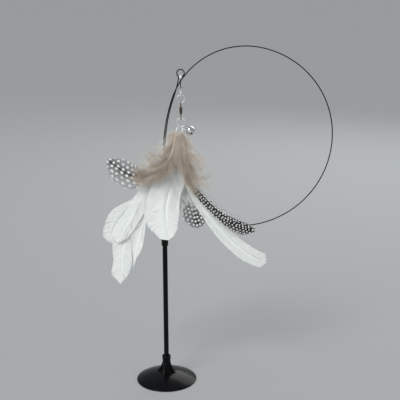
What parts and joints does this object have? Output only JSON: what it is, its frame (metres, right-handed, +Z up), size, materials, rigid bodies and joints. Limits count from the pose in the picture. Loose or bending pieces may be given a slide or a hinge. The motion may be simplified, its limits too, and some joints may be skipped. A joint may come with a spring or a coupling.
{
  "type": "cat teaser wand",
  "caption": "Cat teaser wand: suction cup foot, slim rod, a looped spring wire, and a swivel clip with a bell and feathers.",
  "frame": {"origin": "centre of the suction cup's rim, on the surface that it holds to", "axes": "+Z up along the rod; +X to the side on which the wire's loop lies; the wire's first pass lies in the plane Y = 0, the feathers hang in front of it, towards -Y"},
  "size_m": [0.2176, 0.06, 0.3348],
  "materials": {
    "cup_rubber": "gloss",
    "rod_plastic": "satin",
    "cap_plastic": "gloss",
    "black_wire": "satin",
    "bright_plate": "polished",
    "steel_parts": "satin",
    "dark_brass": "satin",
    "bell_plate": "polished",
    "crimp_plate": "polished",
    "white_vane": "matte",
    "brown_down": "matte",
    "spotted_vane": "matte"
  },
  "bodies": {
    "base": {"suction_cup": "cup_rubber"},
    "rod": {"stem_tube": "rod_plastic", "stem_collar": "cap_plastic"},
    "wire": {"spring_wire": "black_wire"},
    "clasp": {"clasp_body": "bright_plate", "clasp_pin": "steel_parts", "clasp_spring": "steel_parts"},
    "trigger": {"clasp_trigger": "steel_parts"},
    "jump_ring": {"jump_ring": "bright_plate"},
    "swivel_top": {"swivel_upper_eye": "dark_brass"},
    "barrel": {"swivel_barrel": "dark_brass"},
    "swivel_bottom": {"swivel_lower_eye": "dark_brass"},
    "split_ring": {"split_ring": "bright_plate"},
    "bell": {"bell_link": "bell_plate", "bell_loop": "bell_plate", "bell_upper": "bell_plate", "bell_lower": "bell_plate"},
    "pellet": {"bell_pellet": "bell_plate"},
    "left_bundle": {"crimp_left": "crimp_plate", "white_feather_curled": "white_vane", "white_feather_front": "white_vane", "white_feather_long": "white_vane", "white_feather_split": "white_vane", "spotted_feather_left": "brown_down"},
    "right_bundle": {"crimp_right": "crimp_plate", "white_feather_middle": "white_vane", "white_feather_veil": "white_vane", "white_feather_sweep": "white_vane", "spotted_feather_right": "brown_down", "spotted_feather_round": "spotted_vane"}
  },
  "joints": [
    {"name": "rod_pull_out", "type": "slide", "parent": "base", "child": "rod", "axis": [0, 0, 1], "range_m": [0, 0.016]},
    {"name": "wire_flex", "type": "hinge", "parent": "rod", "child": "wire", "pos_m": [0, 0, 0.147], "axis": [1, 0, 0], "range_deg": [-12, 12], "stiffness_Nm_per_rad": 0.12},
    {"name": "clasp_swing", "type": "hinge", "parent": "wire", "child": "clasp", "pos_m": [0.01658, 0.00678, 0.30537], "axis": [-1, 0, 0], "range_deg": [0, 12]},
    {"name": "trigger_press", "type": "hinge", "parent": "clasp", "child": "trigger", "pos_m": [0.01658, 0.00473, 0.29526], "axis": [-1, 0, 0], "range_deg": [0, 18], "stiffness_Nm_per_rad": 0.004, "deforming": ["clasp_spring"]},
    {"name": "jump_ring_swing", "type": "hinge", "parent": "clasp", "child": "jump_ring", "pos_m": [0.01658, 0.00678, 0.28817], "axis": [-1, 0, 0], "range_deg": [0, 15]},
    {"name": "swivel_swing", "type": "hinge", "parent": "jump_ring", "child": "swivel_top", "pos_m": [0.01658, 0.00678, 0.28457], "axis": [0, -1, 0], "range_deg": [-3, 10]},
    {"name": "barrel_spin", "type": "hinge", "parent": "swivel_top", "child": "barrel", "pos_m": [0.01658, 0.00678, 0.27692], "axis": [0, 0, 1], "continuous": true},
    {"name": "swivel_turn", "type": "hinge", "parent": "swivel_top", "child": "swivel_bottom", "pos_m": [0.01658, 0.00678, 0.26682], "axis": [0, 0, 1], "range_deg": [-8, 8]},
    {"name": "split_ring_swing", "type": "hinge", "parent": "swivel_bottom", "child": "split_ring", "pos_m": [0.01658, 0.00678, 0.2662], "axis": [-1, 0, 0], "range_deg": [0, 15]},
    {"name": "bell_swing", "type": "hinge", "parent": "split_ring", "child": "bell", "pos_m": [0.01658, 0.00678, 0.262], "axis": [0, -1, 0], "range_deg": [0, 40]},
    {"name": "pellet_rattle", "type": "slide", "parent": "bell", "child": "pellet", "axis": [-0.5446, 0, 0.8387], "range_m": [0, 0.004]},
    {"name": "left_bundle_swing", "type": "hinge", "parent": "split_ring", "child": "left_bundle", "pos_m": [0.01658, 0.00678, 0.262], "axis": [0, 1, 0], "range_deg": [0, 12]},
    {"name": "right_bundle_swing", "type": "hinge", "parent": "split_ring", "child": "right_bundle", "pos_m": [0.01658, 0.00678, 0.262], "axis": [0, -1, 0], "range_deg": [0, 4]}
  ]
}
